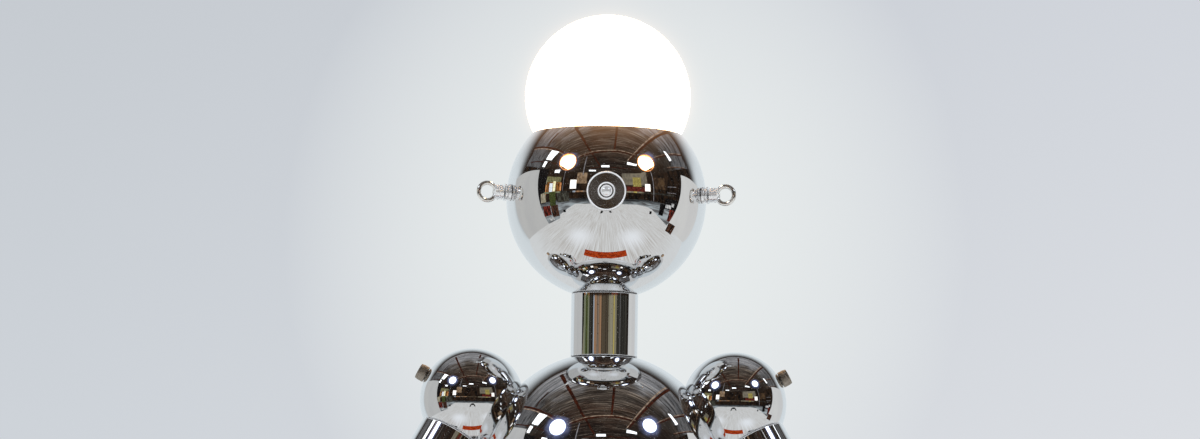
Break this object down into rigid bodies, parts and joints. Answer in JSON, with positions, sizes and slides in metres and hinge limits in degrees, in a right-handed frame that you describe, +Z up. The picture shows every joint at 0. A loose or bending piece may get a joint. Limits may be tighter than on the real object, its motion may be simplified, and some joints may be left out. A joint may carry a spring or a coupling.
{
  "type": "robot shaped lamp",
  "caption": "Standing robot shaped lamp of chromed spheres and tubes, with a globe bulb in its open head, a nose switch and jointed arms and legs.",
  "frame": {"origin": "centre of the footprint on the floor, midway between the soles", "axes": "+Z up through the head, the robot faces -Y, +X is the robot's own left"},
  "size_m": [0.4968, 0.18, 0.8446],
  "materials": {
    "chrome": "polished chrome plate with faint handling marks",
    "nickel": "bright nickel plate, lightly worn",
    "aged_nickel": "nickel plate worn through to warm brown brass",
    "zinc_steel": "zinc plated steel",
    "brass": "satin brass",
    "cap_alloy": "bare rolled aluminium",
    "porcelain": "white glazed porcelain",
    "opal_glass": "milk white opal glass, lit from inside",
    "black_plastic": "black moulded phenolic",
    "felt": "dark felt"
  },
  "bodies": {
    "torso": {"torso_shell": "chrome", "pelvis_shell": "chrome", "neck_tube": "chrome", "waist_tube": "chrome", "lamp_pipe": "zinc_steel", "centring_rings": "zinc_steel", "pipe_fixings": "brass", "weld_nuts": "zinc_steel", "pivot_studs": "zinc_steel", "thumb_nuts": "aged_nickel", "cord_bushing": "black_plastic", "lampholder_cap": "brass", "lampholder_shell": "brass", "lampholder_core": "porcelain", "bulb_cap": "cap_alloy", "bulb_globe": "opal_glass"},
    "head": {"head_shell": "chrome", "ear_loops": "nickel", "ear_fixings": "nickel", "switch_housing": "black_plastic", "switch_nut": "zinc_steel"},
    "nose": {"switch_shaft": "zinc_steel", "nose_knob": "chrome", "nose_screw": "chrome"},
    "upper_arm_l": {"shoulder_ball_l": "chrome", "upper_arm_tube_l": "chrome", "upper_arm_tie_l": "zinc_steel"},
    "forearm_l": {"elbow_ball_l": "chrome", "elbow_pin_l": "aged_nickel", "forearm_tube_l": "chrome", "forearm_tie_l": "zinc_steel", "wrist_plug_l": "chrome"},
    "hand_l": {"hand_clip_l": "chrome"},
    "thigh_l": {"hip_ball_l": "chrome", "thigh_tube_l": "chrome", "thigh_tie_l": "zinc_steel"},
    "shin_l": {"knee_ball_l": "chrome", "knee_pin_l": "aged_nickel", "shin_tube_l": "chrome", "shin_tie_l": "zinc_steel", "foot_shell_l": "chrome", "foot_sole_l": "felt"},
    "upper_arm_r": {"shoulder_ball_r": "chrome", "upper_arm_tube_r": "chrome", "upper_arm_tie_r": "zinc_steel"},
    "forearm_r": {"elbow_ball_r": "chrome", "elbow_pin_r": "aged_nickel", "forearm_tube_r": "chrome", "forearm_tie_r": "zinc_steel", "wrist_plug_r": "chrome"},
    "hand_r": {"hand_clip_r": "chrome"},
    "thigh_r": {"hip_ball_r": "chrome", "thigh_tube_r": "chrome", "thigh_tie_r": "zinc_steel"},
    "shin_r": {"knee_ball_r": "chrome", "knee_pin_r": "aged_nickel", "shin_tube_r": "chrome", "shin_tie_r": "zinc_steel", "foot_shell_r": "chrome", "foot_sole_r": "felt"}
  },
  "joints": [
    {"name": "head_turn", "type": "hinge", "parent": "torso", "child": "head", "pos_m": [0, 0, 0.63007], "axis": [0, 0, 1], "range_deg": [-90, 90]},
    {"name": "nose_switch", "type": "hinge", "parent": "head", "child": "nose", "pos_m": [0, -0.075, 0.70287], "axis": [0, -1, 0], "range_deg": [-240, 30]},
    {"name": "shoulder_l", "type": "hinge", "parent": "torso", "child": "upper_arm_l", "pos_m": [0.09791, 0, 0.55269], "axis": [-0.8796, 0, -0.4756], "range_deg": [-50, 78]},
    {"name": "elbow_l", "type": "hinge", "parent": "upper_arm_l", "child": "forearm_l", "pos_m": [0.16187, -0.02859, 0.43439], "axis": [-0.8796, 0, -0.4756], "range_deg": [0, 90]},
    {"name": "wrist_l", "type": "hinge", "parent": "forearm_l", "child": "hand_l", "pos_m": [0.21084, -0.05047, 0.34383], "axis": [0.4652, -0.2079, -0.8604], "range_deg": [-90, 90]},
    {"name": "hip_l", "type": "hinge", "parent": "torso", "child": "thigh_l", "pos_m": [0.08389, 0, 0.32206], "axis": [-1, 0, 0], "range_deg": [-20, 90]},
    {"name": "knee_l", "type": "hinge", "parent": "thigh_l", "child": "shin_l", "pos_m": [0.08389, 0, 0.17456], "axis": [1, 0, 0], "range_deg": [0, 90]},
    {"name": "shoulder_r", "type": "hinge", "parent": "torso", "child": "upper_arm_r", "pos_m": [-0.09791, 0, 0.55269], "axis": [-0.8796, 0, 0.4756], "range_deg": [-50, 78]},
    {"name": "elbow_r", "type": "hinge", "parent": "upper_arm_r", "child": "forearm_r", "pos_m": [-0.16187, -0.02859, 0.43439], "axis": [-0.8796, 0, 0.4756], "range_deg": [0, 90]},
    {"name": "wrist_r", "type": "hinge", "parent": "forearm_r", "child": "hand_r", "pos_m": [-0.21084, -0.05047, 0.34383], "axis": [-0.4652, -0.2079, -0.8604], "range_deg": [-90, 90]},
    {"name": "hip_r", "type": "hinge", "parent": "torso", "child": "thigh_r", "pos_m": [-0.08389, 0, 0.32206], "axis": [-1, 0, 0], "range_deg": [-20, 90]},
    {"name": "knee_r", "type": "hinge", "parent": "thigh_r", "child": "shin_r", "pos_m": [-0.08389, 0, 0.17456], "axis": [1, 0, 0], "range_deg": [0, 90]}
  ]
}
